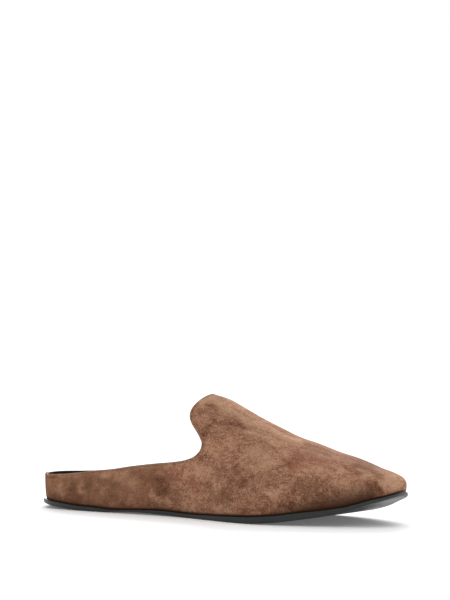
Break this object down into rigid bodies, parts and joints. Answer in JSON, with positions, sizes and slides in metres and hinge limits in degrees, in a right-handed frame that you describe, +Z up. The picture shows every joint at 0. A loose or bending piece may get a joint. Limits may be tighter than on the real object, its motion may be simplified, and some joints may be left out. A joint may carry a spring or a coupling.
{
  "type": "flat mule",
  "caption": "Backless slip-on flat shoe for the right foot: suede upper with a low heel wall and a rounded tongue, on a thin dark sole.",
  "frame": {"origin": "on the floor, under the middle of the shoe's length and width", "axes": "+X towards the toe, +Y towards the inner side of the foot, +Z up"},
  "size_m": [0.288, 0.0998, 0.085],
  "materials": {
    "outsole": "dyed black, smooth, polished edge",
    "upper": "brown suede with a mottled nap, dark lining",
    "insole": "smooth, soft black lining leather"
  },
  "bodies": {
    "root": {"outsole": "outsole", "upper": "upper", "insole": "insole"}
  },
  "joints": []
}
